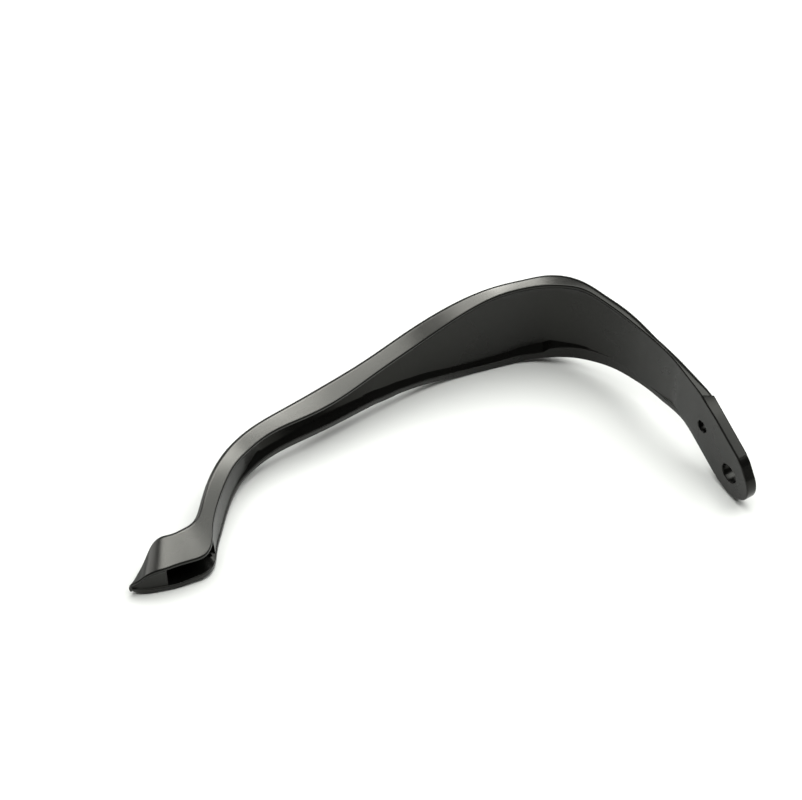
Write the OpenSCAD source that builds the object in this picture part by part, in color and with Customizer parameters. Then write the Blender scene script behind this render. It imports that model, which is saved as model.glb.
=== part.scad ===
// Hand guard: one moulded ribbon with a C section. It starts in a closed
// end pocket, runs along a slim stem, widens into a tall curved shield and
// ends in a solid flat strap with two bores.
// Plan frame while it is drawn: X along the chord (pocket to strap), Y away
// from the rider, Z up. The finished part is tipped onto its lower rim.

/* [Wall] */
// Thickness of the two rims of the channel
wall = 2.2; // [1.6:0.1:3]
// Radius of the outer corner between web and rims
corner_r = 3; // [1:0.5:4]
// Radius of the fillet inside the channel
fillet_r = 1.6; // [0.4:0.2:2]
// Rounding of the free edge of the rims
rim_r = 0.9; // [0.3:0.1:1]

/* [End pocket] */
// Depth of the pocket, from its back wall to its mouth
pocket_depth = 19.5; // [14:0.5:21]
// Height of the pocket at its tallest
pocket_h = 20; // [14:0.5:22]

/* [Stem and shield] */
// Height of the top rim along the stem
stem_top = 23.5; // [20:0.5:27]
// Height of the top rim at the crest of the shield
shield_top = 56; // [48:0.5:60]
// How far the lower rim of the shield drops below the datum
shield_drop = 10; // [4:0.5:12]
// Depth of the rims along the stem
stem_depth = 10; // [8:0.5:13]
// Depth of the rims on the shield
shield_depth = 8; // [6:0.5:11]

/* [Mounting strap] */
// Thickness of the strap
strap_t = 6.8; // [5:0.2:8]
// Radius of the strap's end, about the large bore
strap_end_r = 14; // [11:0.5:15]
// Diameter of the large bore
large_bore_d = 10.5; // [6:0.5:14]
// Diameter of the small bore
small_bore_d = 6.5; // [4:0.5:8]
// Distance of the large bore along the strap
large_bore_u = 27.5; // [24:0.5:30]
// Height of the large bore
large_bore_z = 15.5; // [14:0.5:18]
// Distance of the small bore along the strap
small_bore_u = 4; // [2:0.5:7]
// Height of the small bore
small_bore_z = 26; // [22:0.5:30]

/* [Rest] */
// Tip of the finished part onto its lower rim, in degrees
rest_tilt = 5.2; // [0:0.1:8]

/* [Hidden] */

// Where the strap's outer face starts, its heading, and the way to its inner face
strap_at = [137.5, -64];
strap_dir = -70;
strap_in = strap_dir - 90;
// Slopes of the strap's upper and lower edges, with their heights at the start
strap_top0 = 45.5;
strap_top_slope = -0.4;
strap_low0 = 11;
strap_low_slope = -0.45;
// Upper shoulder of the strap's end
shoulder_r = 10;
shoulder_u = large_bore_u - 0.5;
shoulder_z = large_bore_z + 8.5;

// Where the web starts to thicken towards the strap, at its top and at its foot
fill_top_x = 97;
fill_low_x = 112;
fill_rate = 0.25;

// Middle of the footprint and lowest point, in the plan frame after the tip
centre = [1.35, -44.57, -9.2];

// Stations along the outer edge of the ribbon:
// x, y, heading from outer edge to rim, depth, top, foot, how far the foot leans in
stations = [
  // closed tip of the pocket
  [-148, -90.5, -113, 2.5, 7, 1.5, -0.5],
  [-145, -87.5, -110, 4.5, 10.5, 0.5, -1],
  // slanted end wall and back wall of the pocket
  [-136, -76.5, -97, 16, 16.5, -0.5, 0],
  [-124, -71.5, -93, pocket_depth, pocket_h - 1, -1, 0.5],
  [-115.5, -68.5, -70, pocket_depth - 1, pocket_h - 2, -1, 0.5],
  // corner where the pocket meets the stem
  [-111, -63.5, -32, stem_depth, stem_top - 0.5, -0.5, 0.5],
  // slim stem
  [-105, -51.5, -27, stem_depth, stem_top, 0, 0],
  [-99, -40.5, -36, stem_depth, stem_top, 0.5, 0],
  [-91, -32, -48, stem_depth, stem_top, 1.5, -0.5],
  [-71, -20, -67, stem_depth + 1, stem_top + 1, 3, -1],
  [-40, -8, -70, stem_depth + 3, stem_top + 3, 3.5, -2],
  // the stem widens into the shield
  [-17.5, 0, -71, stem_depth + 1.5, shield_top - 25, 1.5, -2],
  [4.5, 7.5, -74, stem_depth + 1, shield_top - 18, -2, -3],
  [26.5, 12, -80, shield_depth + 2, shield_top - 9, 2.5 - shield_drop, -3],
  [48.5, 14.5, -85, shield_depth, shield_top - 3.5, -shield_drop, -2],
  [72.5, 14.5, -99, shield_depth, shield_top - 1.5, 3.5 - shield_drop, -1],
  // crest of the shield
  [93, 5, -128, shield_depth - 1.5, shield_top, -1, 0],
  // flank of the shield, thickening into the strap
  [108, -11.5, -144, shield_depth - 3, shield_top - 3, 4.5, -1.5],
  [121, -33, -150, 3.5, shield_top - 6.5, 8, -1],
  [133, -55, -155, 5, 46.5, 12, 0]
];

// Smooth curve through four neighbouring stations
function curve(a, b, c, d, t) =
  0.5 * (2 * b + (c - a) * t + (2 * a - 5 * b + 4 * c - d) * t * t
         + (3 * b - a - 3 * c + d) * t * t * t);

// Strap outline, measured along the strap
function arc_h(u, cu, r) = sqrt(max(0, r * r - (u - cu) * (u - cu)));
function strap_top(u) =
  min(strap_top0 + strap_top_slope * u,
      max(u < shoulder_u ? 99 : u > shoulder_u + shoulder_r ? 0
            : shoulder_z + arc_h(u, shoulder_u, shoulder_r),
          u < large_bore_u ? 99 : large_bore_z + arc_h(u, large_bore_u, strap_end_r)));
function strap_low(u) =
  u < large_bore_u
    ? max(strap_low0 + strap_low_slope * u, large_bore_z - strap_end_r)
    : large_bore_z - arc_h(u, large_bore_u, strap_end_r);
function strap_row(u) =
  [strap_at[0] + u * cos(strap_dir), strap_at[1] + u * sin(strap_dir),
   strap_in, strap_t, strap_top(u), strap_low(u), 0];

// Distances along the strap: even steps, then closing steps round the end
strap_us = concat(
  [for (u = [1.5 : 6.5 : 21]) u],
  [large_bore_u - 3, large_bore_u + 0.5],
  [for (q = [12 : 12 : 72]) large_bore_u + strap_end_r * sin(q)],
  [large_bore_u + strap_end_r * sin(82)]);

rows = concat(stations, [for (u = strap_us) strap_row(u)]);
curved_n = len(stations);
steps = 3;
function row(i) = rows[max(0, min(len(rows) - 1, i))];
ring_rows = concat(
  [for (i = [0 : curved_n - 1]) for (k = [0 : steps - 1])
    curve(row(i - 1), row(i), row(i + 1), row(i + 2), k / steps)],
  [for (i = [curved_n : len(rows) - 1]) row(i)]);

// Web thickness grows to the full depth where the ribbon becomes the strap
function web_top(r) = min(r[3], wall + fill_rate * max(0, r[0] - fill_top_x));
function web_low(r) = min(r[3], wall + fill_rate * max(0, r[0] - fill_low_x));

arc_n = 3;
// Section of the ribbon as [distance from the outer edge, height]
function section(r) =
  let (d = r[3], zt = r[4], zb = r[5], h = zt - zb,
       ro = min(corner_r, h / 2 - 0.2, d - 0.3),
       ri = min(rim_r, ro / 2),
       t = min(wall, 0.38 * h),
       f = min(fillet_r, (h / 2 - t) / 2),
       wt = min(web_top(r), d), wb = min(web_low(r), d),
       ft = min(f, d - wt), fb = min(f, d - wb))
  concat(
    [for (k = [0 : arc_n]) let (q = 90 * k / arc_n)
      [ro - ro * cos(q), zt - ro + ro * sin(q)]],
    [for (k = [0 : 2]) let (q = 45 * k)
      [d - ri + ri * sin(q), zt - ri + ri * cos(q)]],
    [[d, zt - t],
     [wt + ft, zt - t - 0.05 * f], [wt + 0.3 * ft, zt - t - 0.35 * f], [wt, zt - t - f],
     [wb, zb + t + f], [wb + 0.3 * fb, zb + t + 0.35 * f], [wb + fb, zb + t + 0.05 * f],
     [d, zb + t]],
    [for (k = [0 : 2]) let (q = 45 * k)
      [d - ri + ri * cos(q), zb + ri - ri * sin(q)]],
    [for (k = [0 : arc_n]) let (q = 90 * k / arc_n)
      [ro - ro * sin(q), zb + ro - ro * cos(q)]]);

// Section stood up at its station, leaning by its own amount at the foot
function placed(r) =
  [for (p = section(r))
    let (s = p[0] + r[6] * (r[4] - p[1]) / (r[4] - r[5]))
      [r[0] + s * cos(r[2]), r[1] + s * sin(r[2]), p[1]]];

pts_n = 2 * (arc_n + 1) + 6 + 8;

// The ribbon from the tip of the pocket to the end of the strap
module ribbon() {
  rings = [for (r = ring_rows) placed(r)];
  n = len(rings);
  m = pts_n;
  polyhedron(
    points = [for (g = rings) for (p = g) p],
    faces = concat(
      [[for (k = [0 : m - 1]) k]],
      [for (i = [0 : n - 2]) for (k = [0 : m - 1])
        let (k2 = (k + 1) % m)
          [i * m + k, (i + 1) * m + k, (i + 1) * m + k2]],
      [for (i = [0 : n - 2]) for (k = [0 : m - 1])
        let (k2 = (k + 1) % m)
          [i * m + k, (i + 1) * m + k2, i * m + k2]],
      [[for (k = [0 : m - 1]) n * m - 1 - k]]),
    convexity = 6);
}

// A bore square to the strap, right through it
module strap_bore(u, z, d) {
  translate([strap_at[0] + u * cos(strap_dir), strap_at[1] + u * sin(strap_dir), z])
    rotate([0, 0, strap_dir])
      translate([0, -strap_t / 2, 0])
        rotate([90, 0, 0])
          cylinder(h = strap_t + 8, d = d, center = true, $fn = 64);
}

module guard_shell() {
  color([0.05, 0.05, 0.05])
    translate([-centre[0], -centre[1], -centre[2]])
      rotate([rest_tilt, 0, 0])
        difference() {
          ribbon();
          strap_bore(large_bore_u, large_bore_z, large_bore_d);
          strap_bore(small_bore_u, small_bore_z, small_bore_d);
        }
}

guard_shell();
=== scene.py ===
import math

import bmesh
import bpy
import numpy as np
from mathutils import Matrix, Vector


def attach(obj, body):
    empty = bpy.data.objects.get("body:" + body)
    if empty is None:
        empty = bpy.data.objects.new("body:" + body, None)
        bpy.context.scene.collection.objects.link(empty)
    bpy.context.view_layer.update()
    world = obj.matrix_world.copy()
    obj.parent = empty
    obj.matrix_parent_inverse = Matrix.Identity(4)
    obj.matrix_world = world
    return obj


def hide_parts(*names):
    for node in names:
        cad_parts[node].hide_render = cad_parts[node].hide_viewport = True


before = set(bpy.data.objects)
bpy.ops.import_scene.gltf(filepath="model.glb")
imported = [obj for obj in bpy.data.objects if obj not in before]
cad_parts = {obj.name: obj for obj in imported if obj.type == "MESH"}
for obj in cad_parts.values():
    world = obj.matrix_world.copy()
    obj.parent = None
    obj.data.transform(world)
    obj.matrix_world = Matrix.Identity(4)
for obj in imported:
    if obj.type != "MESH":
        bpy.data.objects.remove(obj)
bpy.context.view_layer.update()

# ---------------------------------------------------------------- camera
# Lengths below are in millimetres until to_row() turns them into metres.
SHIFT = np.array([-1.35, 44.57, 0.46])


def make_camera():
    data = bpy.data.cameras.new("camera")
    data.sensor_fit = "HORIZONTAL"
    data.sensor_width = 36.0
    data.lens = 2361.6 * 36.0 / 802.0
    data.shift_x = 0.0
    data.shift_y = -(400.0 - 387.4) / 802.0
    data.clip_start, data.clip_end = 0.01, 50.0
    cam = bpy.data.objects.new("camera", data)
    bpy.context.scene.collection.objects.link(cam)
    pos = (np.array([-136.1, -751.8, 901.5]) + SHIFT) / 1000.0
    fwd = Vector((0.1158, 0.6398, -0.7598)).normalized()
    right = Vector((0.9791, -0.2022, -0.0210)).normalized()
    up = right.cross(fwd).normalized()
    right = fwd.cross(up).normalized()
    m = Matrix((right, up, -fwd)).transposed().to_4x4()
    m.translation = Vector(pos)
    cam.matrix_world = m
    bpy.context.scene.camera = cam


make_camera()

# ---------------------------------------------------------------- shape
# Stations of the ribbon, from the pocket's tip to the start of the strap:
# x, y of the outer edge, heading to the rim, depth, top, foot, and how far
# the foot leans out.
STATIONS = np.array([
    (-147.6, -89.7, -114, 0.6, 7.2, 0.8, -0.5),
    (-145.8, -87.8, -113, 3.0, 8.2, 0.7, -0.5),
    (-142.8, -84.6, -112, 7.0, 9.9, 0.5, -0.4),
    (-139.1, -80.0, -109, 12.1, 12.0, 0.0, -0.1),
    (-135.8, -75.3, -106, 16.7, 14.4, -0.5, 0.3),
    (-132.9, -72.6, -104, 19.3, 16.0, -0.6, 0.6),
    (-129.8, -71.7, -103, 20.2, 17.4, -0.6, 0.5),
    (-126.6, -71.8, -101, 19.8, 18.2, -0.7, 0.6),
    (-123.0, -71.5, -94, 18.9, 18.7, -0.8, 1.0),
    (-119.9, -70.6, -83, 19.2, 19.0, 0.2, 0.6),
    (-116.8, -69.5, -70, 19.1, 19.2, 0.8, 0.6),
    (-112.9, -66.8, -52, 11.9, 20.2, -1.7, 0.9),
    (-109.5, -60.4, -32, 8.9, 21.6, -2.2, 1.1),
    (-104.6, -50.2, -27, 9.2, 22.9, 0.2, 0.7),
    (-97.0, -38.7, -36, 9.3, 23.4, 0.7, -0.1),
    (-89.4, -30.8, -48, 9.8, 23.3, 1.2, -0.8),
    (-83.3, -26.4, -60, 9.9, 23.7, 1.8, -0.8),
    (-69.0, -19.4, -67, 10.1, 24.6, 3.0, -0.9),
    (-57.5, -14.9, -70, 11.4, 25.1, 3.9, -1.2),
    (-41.7, -9.0, -70, 12.5, 26.6, 3.1, -2.2),
    (-18.1, -0.8, -71, 10.9, 31.2, 1.6, -2.1),
    (5.0, 7.4, -74, 10.9, 38.1, -2.4, -2.8),
    (26.1, 11.7, -80, 9.7, 46.6, -7.2, -3.1),
    (51.1, 14.4, -85, 7.3, 52.8, -10.0, -1.5),
    (64.5, 14.6, -90, 7.0, 54.0, -8.6, -1.4),
    (72.0, 14.6, -99, 7.6, 54.5, -6.5, -0.5),
    (82.1, 12.7, -113, 7.9, 54.8, -3.9, 0.6),
    (94.4, 5.2, -128, 5.5, 54.0, -1.0, 1.4),
    (101.1, -1.9, -138, 4.8, 52.6, 1.4, 0.7),
    (107.7, -9.8, -144, 4.9, 51.6, 3.9, -0.4),
    (114.8, -20.7, -148, 4.3, 50.2, 6.1, -0.8),
    (120.5, -32.3, -150, 3.1, 49.5, 8.5, -0.5),
    (125.7, -43.1, -152, 3.4, 50.0, 11.3, -0.2),
    (131.3, -54.7, -155, 4.6, 49.0, 13.3, -0.7),
])

# Inside of the channel along x: how far the web is set back from the rims at
# the top and at the foot, how far the web's foot stands forward of its top,
# and the height of the lower rim.
CHANNEL = np.array([
    (-150.0, 1.3, 1.3, 0.0, 3.6),
    (-126.51, 1.3, 1.3, 0.0, 3.6),
    (-126.49, 20.0, 20.0, 0.0, 3.6),
    (-115.5, 20.0, 20.0, 0.0, 3.6),
    (-113.5, 0.8, 0.8, 0.0, 3.0),
    (-108.0, 0.7, 0.7, 0.0, 3.0),
    (-98.0, 1.1, 1.1, 0.0, 3.0),
    (-90.0, 2.2, 2.2, 0.3, 3.0),
    (-80.0, 6.0, 6.0, 1.5, 3.6),
    (-70.0, 12.0, 12.0, 2.8, 4.4),
    (-60.0, 12.0, 12.0, 3.2, 4.6),
    (-40.0, 12.0, 12.0, 2.5, 4.4),
    (-17.0, 12.0, 12.0, 2.4, 4.6),
    (3.0, 12.0, 12.0, 3.9, 4.3),
    (26.0, 12.0, 12.0, 3.4, 4.4),
    (49.0, 12.0, 12.0, 0.7, 5.2),
    (63.0, 12.0, 12.0, -0.7, 5.3),
    (77.0, 12.0, 6.3, -0.8, 5.3),
    (79.0, 10.0, 5.6, -0.8, 8.0),
    (84.0, 8.0, 4.2, -0.6, 8.3),
    (89.0, 6.0, 3.0, -0.3, 8.6),
    (94.0, 4.0, 2.0, 0.0, 9.0),
    (101.0, 2.6, 0.9, 0.0, 9.0),
    (108.0, 2.0, 0.0, 0.0, 8.0),
    (113.0, 1.2, 0.0, 0.0, 6.0),
    (117.5, 0.0, 0.0, 0.0, 4.0),
    (120.0, 0.0, 0.0, 0.0, 4.0),
    (127.0, 0.0, 1.1, 0.0, 4.0),
    (129.0, 0.0, 0.0, 0.0, 4.0),
    (140.0, 0.0, 0.0, 0.0, 4.0),
])

# Strap: start and heading of its outer face, thickness, bores, end radius
STRAP_AT = np.array([136.3, -64.6])
STRAP_DIR = math.radians(-70.0)
STRAP_T = 5.6
STRAP_ALONG = np.array([math.cos(STRAP_DIR), math.sin(STRAP_DIR)])
BORE_L = (27.5, 15.5, 10.5)
BORE_S = (4.0, 26.0, 6.5)
END_R = 14.6
TOP0, TOP_SLOPE = 47.9, -0.465
LOW0, LOW_SLOPE = 10.9, -0.47
SHOULDER = (27.1, 23.5, 10.2)
# The ribbon's rounded skin laps over the strap and stops in a low step; past it the strap's edges are crisp
STEP_U, STEP_TOP, STEP_FALL, STEP_SKEW = 2.8, 0.35, 0.2, 3.0
STRAP_EDGE = 0.8

# Gate mark on the lower rim: place, half width, height
GATE = (-11.0, 4.5, 0.45)

WALL, WEB, OUT_R, RIM_R, LIP_R, FIL_R = 2.0, 2.2, 3.0, 0.8, 0.4, 10.0
# A sloping face joins the web to the lower rim: its share of the channel's depth, and its rise
RAMP, RISE = 0.38, 1.36
NA, NR, NL, NF = 8, 4, 4, 4


def spline(knots, values, at):
    """Natural cubic spline through the values at the knots."""
    n = len(knots)
    h = np.diff(knots)
    m = np.zeros((n, n))
    r = np.zeros((n, values.shape[1]))
    m[0, 0] = m[-1, -1] = 1.0
    for i in range(1, n - 1):
        m[i, i - 1], m[i, i], m[i, i + 1] = h[i - 1], 2 * (h[i - 1] + h[i]), h[i]
        r[i] = 6 * ((values[i + 1] - values[i]) / h[i] - (values[i] - values[i - 1]) / h[i - 1])
    k = np.linalg.solve(m, r)
    i = np.clip(np.searchsorted(knots, at, side="right") - 1, 0, n - 2)
    a = ((knots[i + 1] - at) / h[i])[:, None]
    b = ((at - knots[i]) / h[i])[:, None]
    hh = (h[i] ** 2)[:, None]
    return a * values[i] + b * values[i + 1] + ((a ** 3 - a) * k[i] + (b ** 3 - b) * k[i + 1]) * hh / 6


def strap_outline(n_line, n_arc):
    """Pairs of points (u, z) with the way inwards, on the top and foot edges, ending together at the strap's tip."""
    nt = np.array([-TOP_SLOPE, 1.0]) / math.hypot(1, TOP_SLOPE)
    cs, rs = np.array(SHOULDER[:2]), SHOULDER[2]
    cl = np.array(BORE_L[:2])
    top = []
    u_end = cs[0] + nt[0] * rs
    for u in [STEP_U + 0.02] + list(np.linspace(STEP_U + 1.2, u_end, n_line)):
        top.append((u, TOP0 + TOP_SLOPE * u))
    # shoulder arc, then the end arc about the large bore
    d = cl - cs
    hop = math.hypot(*d)
    # the common tangent of both circles on the far side
    base = math.atan2(d[1], d[0])
    turn = math.acos((rs - END_R) / hop)
    tn = np.array([math.cos(base + turn), math.sin(base + turn)])
    a0, a1 = math.atan2(nt[1], nt[0]), math.atan2(tn[1], tn[0])
    half = n_arc // 2
    for q in np.linspace(a0, a1, half + 1)[1:]:
        top.append((cs[0] + rs * math.cos(q), cs[1] + rs * math.sin(q)))
    for q in np.linspace(a1, 0.0, n_arc - half + 1)[0 if hop > 0.1 else 1:]:
        top.append((cl[0] + END_R * math.cos(q), cl[1] + END_R * math.sin(q)))
    low = []
    nl = np.array([LOW_SLOPE, -1.0]) / math.hypot(1, LOW_SLOPE)
    flat_u = (LOW0 - (BORE_L[1] - END_R)) / -LOW_SLOPE
    total = len(top)
    # foot line, then the arc; the corner between them is eased
    ctrl = [(STEP_U + 0.02, LOW0 + LOW_SLOPE * (STEP_U + 0.02)), (flat_u - 5.0, LOW0 + LOW_SLOPE * (flat_u - 5.0))]
    for k in range(1, 9):
        t = k / 8
        p0, p1 = np.array(ctrl[1]), np.array([flat_u + 0.5, BORE_L[1] - END_R - 0.1])
        p2 = np.array([cl[0] + 1.0, BORE_L[1] - END_R])
        q = (1 - t) ** 2 * p0 + 2 * t * (1 - t) * p1 + t * t * p2
        ctrl.append(tuple(q))
    for q in np.linspace(-math.pi / 2 + 0.12, 0.0, 24):
        ctrl.append((cl[0] + END_R * math.cos(q), cl[1] + END_R * math.sin(q)))
    low = np.array(ctrl)
    top = np.array(top)
    s = np.r_[0, np.cumsum(np.hypot(*np.diff(low, axis=0).T))]
    st = np.r_[0, np.cumsum(np.hypot(*np.diff(top, axis=0).T))]
    want = st / st[-1] * s[-1]
    low = np.stack([np.interp(want, s, low[:, 0]), np.interp(want, s, low[:, 1])], -1)

    def inward(curve, side):
        t = np.gradient(curve, axis=0)
        t /= np.linalg.norm(t, axis=1)[:, None]
        n = np.stack([t[:, 1], -t[:, 0]], -1) if side > 0 else np.stack([-t[:, 1], t[:, 0]], -1)
        return n

    it, il = inward(top, 1), inward(low, -1)
    it[-1] = il[-1] = (-1.0, 0.0)
    # the section starts upright, as on the ribbon
    for k in range(min(6, total)):
        w = k / 6
        for n, up in ((it, (0.0, -1.0)), (il, (0.0, 1.0))):
            n[k] = n[k] * w + np.array(up) * (1 - w)
            n[k] /= np.linalg.norm(n[k])
    return top, low, it, il


def profile(d, h, set_top=0.0, set_foot=0.0, fw=0.0, low=4.0, out_r=OUT_R, rim_r=RIM_R):
    """Upper and lower half of the section: (distance from the outer edge, distance in from the top or foot)."""
    halves = []
    for inset, shift, wall, upper in ((set_top, 0.0, WALL, True), (set_foot, fw, low, False)):
        dd = d - shift
        w = min(dd, max(WEB, dd - inset))
        ro = min(out_r, h / 2 - 0.1, dd - 0.3)
        ri = min(rim_r, dd * 0.3)
        t = min(wall, 0.38 * h)
        rl = min(LIP_R, ri)
        deep = dd - w
        f = min(FIL_R, max(0.05, (h / 2 - t) * 0.5), 2.2 * deep + 0.3)
        g = min(f, deep)
        # how far the ramp's head stands in front of the web's own plane, and how high it reaches
        head = RAMP * deep * min(max((13.0 - deep) / 3.0, 0.0), 1.0)
        rise = min(RISE * head, 0.8 * (h / 2 - t))
        pts = []
        for k in range(NA + 1):
            q = math.pi / 2 * k / NA
            pts.append((ro - ro * math.cos(q), ro - ro * math.sin(q)))
        for k in range(NR + 1):
            q = math.pi / 2 * k / NR
            pts.append((dd - ri + ri * math.sin(q), ri - ri * math.cos(q)))
        e = min(rl, g * 0.5) if g > 0.02 else 0.0
        for k in range(NL + 1):
            q = math.pi / 2 * k / NL
            pts.append((dd - e + e * math.cos(q), t - (rl - rl * math.sin(q))))
        for k in range(NF + 1):
            q = math.pi / 2 * k / NF
            if upper:
                pts.append((w + g - g * math.sin(q), t + 0.04 + f - f * math.cos(q)))
            else:
                pts.append((dd - e + (w + head - dd + e) * k / NF, t + 0.04 + rise * k / NF))
        halves.append([(p + shift, e) for p, e in pts])
    return halves


def place(x, y, aim, lean, zt, zb, half_top, half_low, nt=(0, -1), nb=(0, 1), along=(0, 0), tu=0.0, bu=0.0, skew=0.0):
    """One closed ring. The upper half runs from the outer face to the web, the lower half back again."""
    ca, sa = math.cos(aim), math.sin(aim)
    ring = []
    for pts, z0, n, u0, sk in ((half_top, zt, nt, tu, skew), (half_low[::-1], zb, nb, bu, 0.0)):
        for p, e in pts:
            z = z0 + n[1] * e
            u = u0 + n[0] * e - sk * max(p / STRAP_T, 0.0) ** 1.4
            s = p + lean * (zt - z) / max(zt - zb, 1.0)
            ring.append((x + ca * s + along[0] * u, y + sa * s + along[1] * u, z))
    return ring


def ribbon_rows():
    """The closely spaced rows of the ribbon, and how far each is from the strap."""
    st = STATIONS.copy()
    join = STRAP_AT + STEP_U * STRAP_ALONG
    row = np.array([join[0], join[1], -160, STRAP_T, TOP0 + TOP_SLOPE * STEP_U + STEP_TOP, LOW0 + LOW_SLOPE * STEP_U, 0.0])
    nxt = row.copy()
    nxt[:2] += 3.0 * STRAP_ALONG
    nxt[4] -= 3.0 * STEP_FALL
    nxt[5] += 3.0 * LOW_SLOPE
    st = np.vstack([st, row, nxt])
    mid = st[:, :2] + 0.5 * st[:, 3:4] * np.stack([np.cos(np.radians(st[:, 2])), np.sin(np.radians(st[:, 2]))], -1)
    knots = np.r_[0, np.cumsum(np.hypot(*np.diff(mid, axis=0).T))]
    ats = []
    for i in range(len(st) - 2):
        step = 1.2 if i < 16 else 2.0
        n = max(2, int(math.ceil((knots[i + 1] - knots[i]) / step)))
        ats += list(knots[i] + (knots[i + 1] - knots[i]) * np.arange(n) / n)
    ats.append(knots[-2])
    ats = np.array(ats)
    # two rows close together wherever the channel steps
    xs = spline(knots, st, ats)[:, 0]
    for i in np.nonzero(np.diff(CHANNEL[:, 0]) < 0.1)[0]:
        wall_at = np.interp(CHANNEL[i:i + 2, 0].mean(), xs, ats)
        keep = np.abs(ats - wall_at) > 0.25
        ats = np.sort(np.r_[ats[keep], wall_at - 0.03, wall_at + 0.03])
        xs = spline(knots, st, ats)[:, 0]
    rows = spline(knots, st, ats)
    chan = np.stack([np.interp(rows[:, 0], CHANNEL[:, 0], CHANNEL[:, c]) for c in range(1, 5)], -1)
    rows = np.hstack([rows, chan])
    # the gate leaves a small swelling on the lower rim
    rows[:, 5] -= GATE[2] * np.exp(-((rows[:, 0] - GATE[0]) / GATE[1]) ** 4)
    return rows, ats - ats[-1]


def ease(t):
    t = min(max(t, 0.0), 1.0)
    return t * t * (3 - 2 * t)


def build_shell():
    rows, before = ribbon_rows()
    rings = []
    for r, s in zip(rows, before):
        ht, hl = profile(r[3], r[4] - r[5], r[7], r[8], r[9], r[10])
        rings.append(place(r[0], r[1], math.radians(r[2]), r[6], r[4], r[5], ht, hl,
                           along=STRAP_ALONG, skew=STEP_SKEW * ease((s + 9.0) / 9.0)))
    top, low, it, il = strap_outline(16, 22)
    for j in range(len(top)):
        ht, _ = profile(STRAP_T, 30.0, out_r=STRAP_EDGE)
        hl = list(ht)
        rings.append(place(STRAP_AT[0], STRAP_AT[1], STRAP_DIR - math.pi / 2, 0.0, top[j, 1], low[j, 1],
                           ht, hl, it[j], il[j], STRAP_ALONG, top[j, 0], low[j, 0],
                           STEP_SKEW * ease(1.0 - (top[j, 0] - STEP_U) / 9.0)))
    return np.array(rings)


def rounded_tip(rings):
    """Small closing rings ahead of the first one, so that the pocket's tip is blunt and round."""
    first, second = rings[0], rings[2]
    c = first.mean(0)
    out = c - second.mean(0)
    out /= np.linalg.norm(out)
    caps = []
    for q in (80, 62, 42, 20):
        a = math.radians(q)
        caps.append(c + (first - c) * math.cos(a) + out * 0.9 * math.sin(a))
    return np.concatenate([np.array(caps), rings])


def mesh_object(name, rings):
    n, m = rings.shape[:2]
    verts = (rings.reshape(-1, 3))
    faces = []
    for i in range(n - 1):
        for k in range(m):
            k2 = (k + 1) % m
            faces.append((i * m + k, i * m + k2, (i + 1) * m + k2, (i + 1) * m + k))
    faces.append(tuple(range(m - 1, -1, -1)))
    # the last ring is folded flat on itself, so welding it closes the end
    me = bpy.data.meshes.new(name)
    me.from_pydata([tuple(v) for v in verts], [], faces)
    me.update()
    ob = bpy.data.objects.new(name, me)
    bpy.context.scene.collection.objects.link(ob)
    return ob


def to_row(points):
    """From the drawing frame to the part's own frame, in metres."""
    t = math.radians(5.2)
    p = np.asarray(points, float)
    q = np.stack([p[..., 0], p[..., 1] * math.cos(t) - p[..., 2] * math.sin(t),
                  p[..., 1] * math.sin(t) + p[..., 2] * math.cos(t) + 8.74], -1)
    return (q + SHIFT) / 1000.0


def tidy(ob, weld=1e-6):
    bm = bmesh.new()
    bm.from_mesh(ob.data)
    bmesh.ops.remove_doubles(bm, verts=bm.verts, dist=weld)
    bmesh.ops.dissolve_degenerate(bm, edges=bm.edges, dist=1e-7)
    bmesh.ops.recalc_face_normals(bm, faces=bm.faces)
    bm.to_mesh(ob.data)
    bm.free()


def cutter(u, z, d, chamfer=0.35):
    """A spool that drills a bore and breaks both of its edges."""
    r = d / 2
    prof = [(-6.0, r + chamfer + 6.0 - 0.0), ]
    half = STRAP_T / 2
    prof = [(-half - 1.0, r + chamfer + 1.0), (-half + chamfer, r), (half - chamfer, r), (half + 1.0, r + chamfer + 1.0)]
    n = 72
    vs, fs = [], []
    mid = STRAP_AT + u * STRAP_ALONG
    inn = np.array([math.cos(STRAP_DIR - math.pi / 2), math.sin(STRAP_DIR - math.pi / 2)])
    mid = mid + inn * half
    for t, rr in prof:
        for k in range(n):
            q = 2 * math.pi * k / n
            a, b = rr * math.cos(q), rr * math.sin(q)
            vs.append((mid[0] + STRAP_ALONG[0] * a + inn[0] * t, mid[1] + STRAP_ALONG[1] * a + inn[1] * t, z + b))
    for i in range(len(prof) - 1):
        for k in range(n):
            k2 = (k + 1) % n
            fs.append((i * n + k, i * n + k2, (i + 1) * n + k2, (i + 1) * n + k))
    fs.append(tuple(range(n - 1, -1, -1)))
    fs.append(tuple((len(prof) - 1) * n + k for k in range(n)))
    me = bpy.data.meshes.new("cut")
    me.from_pydata([tuple(v) for v in to_row(np.array(vs))], [], fs)
    ob = bpy.data.objects.new("cut", me)
    bpy.context.scene.collection.objects.link(ob)
    tidy(ob)
    return ob


def apply_modifiers(ob):
    dg = bpy.context.evaluated_depsgraph_get()
    me = bpy.data.meshes.new_from_object(ob.evaluated_get(dg), preserve_all_data_layers=True, depsgraph=dg)
    old = ob.data
    ob.modifiers.clear()
    ob.data = me
    bpy.data.meshes.remove(old)


def mark_sharp(ob, degrees):
    bm = bmesh.new()
    bm.from_mesh(ob.data)
    for e in bm.edges:
        e.smooth = not (len(e.link_faces) == 2 and e.calc_face_angle(0.0) > math.radians(degrees))
    for f in bm.faces:
        f.smooth = True
    bm.to_mesh(ob.data)
    bm.free()


def weighted(ob):
    m = ob.modifiers.new("normals", "WEIGHTED_NORMAL")
    m.mode = "FACE_AREA"
    m.weight = 60
    m.keep_sharp = True


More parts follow.
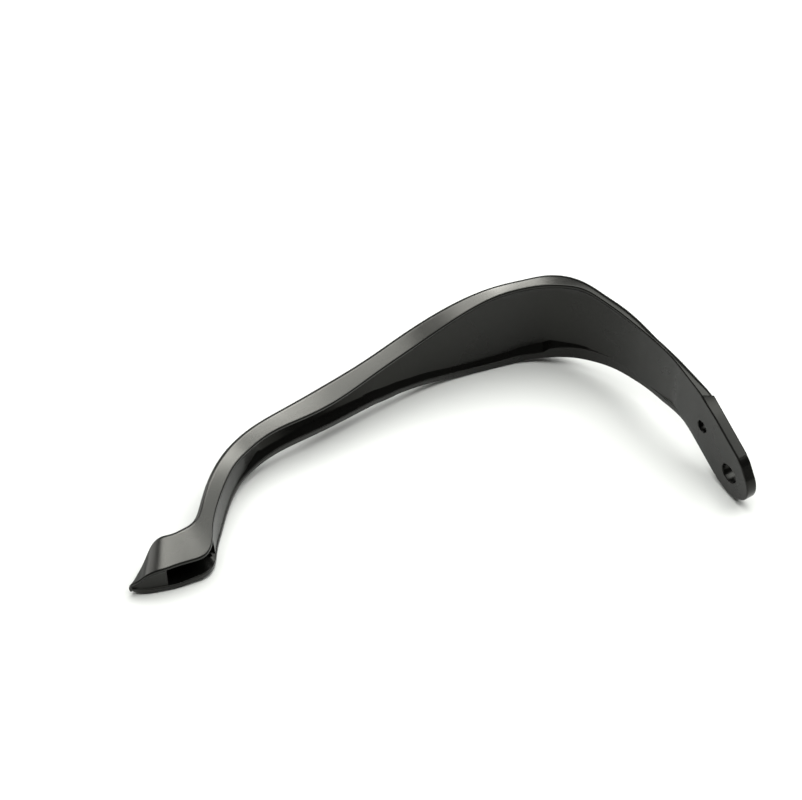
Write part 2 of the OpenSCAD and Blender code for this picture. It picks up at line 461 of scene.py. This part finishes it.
rings = rounded_tip(build_shell())
shell = mesh_object("guard_shell_finish", to_row(rings))
tidy(shell)
for u, z, d in (BORE_L, BORE_S):
    c = cutter(u, z, d)
    b = shell.modifiers.new("bore", "BOOLEAN")
    b.operation, b.solver, b.object = "DIFFERENCE", "MANIFOLD", c
    apply_modifiers(shell)
    bpy.data.objects.remove(c)
mark_sharp(shell, 27)
weighted(shell)


# ---------------------------------------------------------------- materials
def tree_of(name):
    mat = bpy.data.materials.new(name)
    mat.use_nodes = True
    nt = mat.node_tree
    nt.nodes.clear()
    out = nt.nodes.new("ShaderNodeOutputMaterial")
    bs = nt.nodes.new("ShaderNodeBsdfPrincipled")
    nt.links.new(bs.outputs[0], out.inputs[0])
    return mat, nt, bs


def plastic():
    mat, nt, bs = tree_of("black_plastic")
    bs.inputs["Specular IOR Level"].default_value = 0.225
    bs.inputs["Specular Tint"].default_value = (1.0, 0.99, 0.9, 1)
    bs.inputs["IOR"].default_value = 1.46
    tc = nt.nodes.new("ShaderNodeTexCoord")
    # colour: near black, very slightly mottled
    n1 = nt.nodes.new("ShaderNodeTexNoise")
    n1.inputs["Scale"].default_value = 60.0
    n1.inputs["Detail"].default_value = 4.0
    cr = nt.nodes.new("ShaderNodeValToRGB")
    cr.color_ramp.elements[0].position, cr.color_ramp.elements[0].color = 0.35, (0.0011, 0.0011, 0.0009, 1)
    cr.color_ramp.elements[1].position, cr.color_ramp.elements[1].color = 0.7, (0.0017, 0.0016, 0.0014, 1)
    nt.links.new(tc.outputs["Object"], n1.inputs["Vector"])
    nt.links.new(n1.outputs["Fac"], cr.inputs[0])
    nt.links.new(cr.outputs[0], bs.inputs["Base Color"])
    # roughness: satin moulding with faint flow variation
    n2 = nt.nodes.new("ShaderNodeTexNoise")
    n2.inputs["Scale"].default_value = 28.0
    n2.inputs["Detail"].default_value = 3.0
    mr = nt.nodes.new("ShaderNodeMapRange")
    mr.inputs["From Min"].default_value, mr.inputs["From Max"].default_value = 0.3, 0.7
    mr.inputs["To Min"].default_value, mr.inputs["To Max"].default_value = 0.24, 0.3
    nt.links.new(tc.outputs["Object"], n2.inputs["Vector"])
    nt.links.new(n2.outputs["Fac"], mr.inputs["Value"])
    nt.links.new(mr.outputs[0], bs.inputs["Roughness"])
    # fine moulded grain
    n3 = nt.nodes.new("ShaderNodeTexNoise")
    n3.inputs["Scale"].default_value = 1400.0
    n3.inputs["Detail"].default_value = 2.0
    n4 = nt.nodes.new("ShaderNodeTexNoise")
    n4.inputs["Scale"].default_value = 90.0
    n4.inputs["Detail"].default_value = 1.0
    b1 = nt.nodes.new("ShaderNodeBump")
    b1.inputs["Strength"].default_value, b1.inputs["Distance"].default_value = 0.05, 0.0001
    b2 = nt.nodes.new("ShaderNodeBump")
    b2.inputs["Strength"].default_value, b2.inputs["Distance"].default_value = 0.06, 0.0006
    for n in (n3, n4):
        nt.links.new(tc.outputs["Object"], n.inputs["Vector"])
    nt.links.new(n3.outputs["Fac"], b1.inputs["Height"])
    nt.links.new(n4.outputs["Fac"], b2.inputs["Height"])
    nt.links.new(b1.outputs[0], b2.inputs["Normal"])
    nt.links.new(b2.outputs[0], bs.inputs["Normal"])
    return mat


def white_floor():
    mat, nt, bs = tree_of("white_sweep")
    bs.inputs["Base Color"].default_value = (0.62, 0.617, 0.585, 1)
    bs.inputs["Roughness"].default_value = 0.9
    bs.inputs["Specular IOR Level"].default_value = 0.1
    return mat


shell.data.materials.clear()
shell.data.materials.append(plastic())
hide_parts("guard_shell")
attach(shell, "root")


# ---------------------------------------------------------------- studio
def make_floor():
    me = bpy.data.meshes.new("floor")
    s = 4.0
    me.from_pydata([(-s, -s, 0), (s, -s, 0), (s, s, 0), (-s, s, 0)], [], [(0, 1, 2, 3)])
    ob = bpy.data.objects.new("floor", me)
    ob.data.materials.append(white_floor())
    bpy.context.scene.collection.objects.link(ob)


def softbox(name, at, to, size, power, colour=(1, 1, 1)):
    data = bpy.data.lights.new(name, "AREA")
    data.shape = "RECTANGLE"
    data.size, data.size_y = size
    data.energy = power
    data.color = colour
    ob = bpy.data.objects.new(name, data)
    ob.location = at
    ob.rotation_euler = (Vector(to) - Vector(at)).to_track_quat("-Z", "Y").to_euler()
    bpy.context.scene.collection.objects.link(ob)
    return ob


def from_back(azimuth, elevation, distance):
    """A place seen from the part at so many degrees right of straight back, and up."""
    a, e = math.radians(azimuth), math.radians(elevation)
    return (distance * math.sin(a) * math.cos(e), distance * math.cos(a) * math.cos(e), distance * math.sin(e))


def studio():
    make_floor()
    # the lights behind the part only give it its reflections; the floor is lit from overhead
    softbox("back", from_back(1.5, 49, 1.6), (0, 0, 0), (0.37, 0.77), 31.0).visible_diffuse = False
    softbox("back_left", from_back(-22, 50, 1.6), (0, 0, 0), (0.8, 0.68), 35.0).visible_diffuse = False
    softbox("overhead", (0.4, 0.05, 1.3), (0.4, 0.05, 0), (2.0, 1.15), 54.0, (0.96, 0.985, 1.0))
    softbox("left", from_back(-52, 17, 1.5), (0, 0, 0), (0.7, 0.6), 8.4).visible_diffuse = False
    world = bpy.data.worlds.new("world")
    bpy.context.scene.world = world
    world.use_nodes = True
    bg = world.node_tree.nodes["Background"]
    bg.inputs[0].default_value = (1, 1, 1, 1)
    bg.inputs[1].default_value = 0.1
    vs = bpy.context.scene.view_settings
    vs.view_transform = "Standard"
    vs.look = "None"
    vs.exposure = 0.0
    vs.gamma = 1.0


studio()
